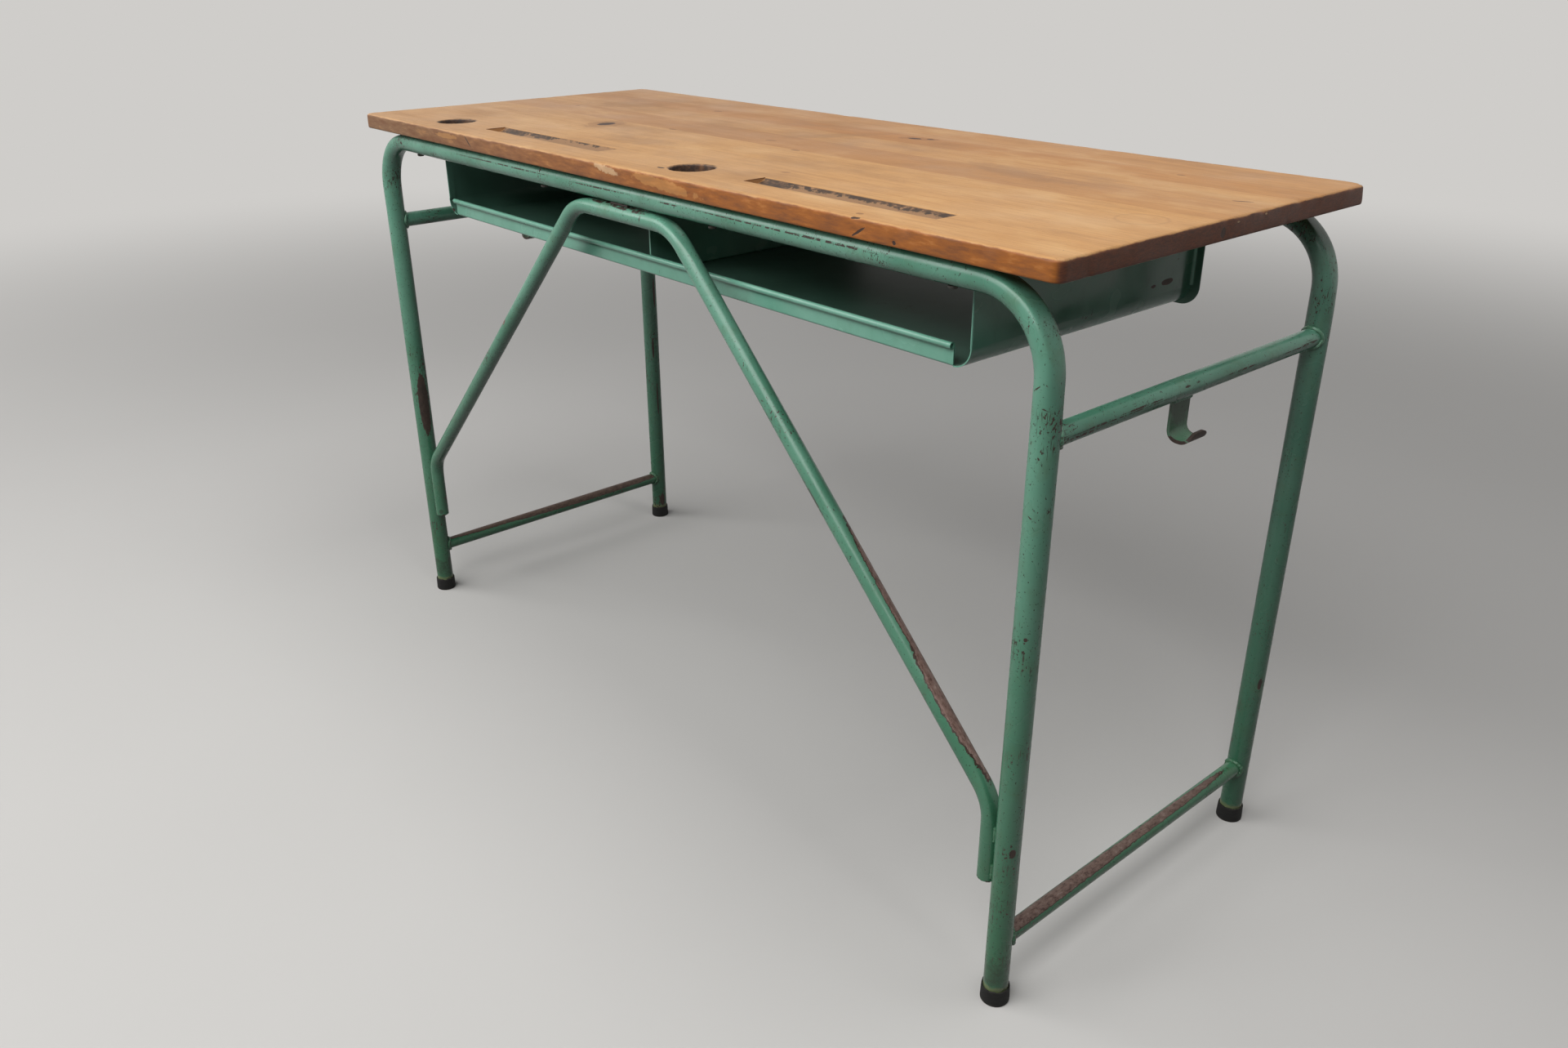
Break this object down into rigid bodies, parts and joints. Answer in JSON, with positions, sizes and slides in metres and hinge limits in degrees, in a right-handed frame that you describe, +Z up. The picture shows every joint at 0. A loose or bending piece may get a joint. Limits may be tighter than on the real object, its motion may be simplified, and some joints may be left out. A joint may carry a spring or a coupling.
{
  "type": "school desk",
  "caption": "Long shared school desk: solid wood top with inkwell holes and pencil grooves on a braced frame of bent steel tube, with a sheet steel book tray and bag hooks.",
  "frame": {"origin": "on the floor, under the middle of the top board", "axes": "X along the desk's length, +Y towards the pupils' side (the open side of the book tray), -Y towards the side with the brace, inkwell holes and pencil grooves, +Z up"},
  "size_m": [1.217, 0.473, 0.746],
  "materials": {
    "board_wood": "worn oiled beech or pine, honey-coloured, ink-stained at bores and grooves",
    "frame_enamel": "glossy mint-green enamel, chipped and rusty in places",
    "tray_enamel": "glossy mint-green enamel on sheet steel",
    "hook_enamel": "worn grey-green enamel on flat bar, rusty at the tip",
    "black_rubber": "matt black rubber",
    "screw_steel": "dull zinc-plated steel"
  },
  "bodies": {
    "root": {"top_board": "board_wood", "front_frame": "frame_enamel", "back_frame": "frame_enamel", "front_brace": "frame_enamel", "upper_rail_left": "frame_enamel", "upper_rail_right": "frame_enamel", "lower_rail_left": "frame_enamel", "lower_rail_right": "frame_enamel", "ferrule_front_left": "black_rubber", "ferrule_front_right": "black_rubber", "ferrule_back_left": "black_rubber", "ferrule_back_right": "black_rubber", "book_tray": "tray_enamel", "tray_divider": "tray_enamel", "bag_hook_left": "hook_enamel", "bag_hook_right": "hook_enamel", "upper_rail_welds": "frame_enamel", "lower_rail_welds": "frame_enamel", "brace_welds": "frame_enamel", "hook_welds": "frame_enamel", "frame_screws": "screw_steel", "tray_screws": "screw_steel", "divider_screws": "screw_steel"}
  },
  "joints": []
}
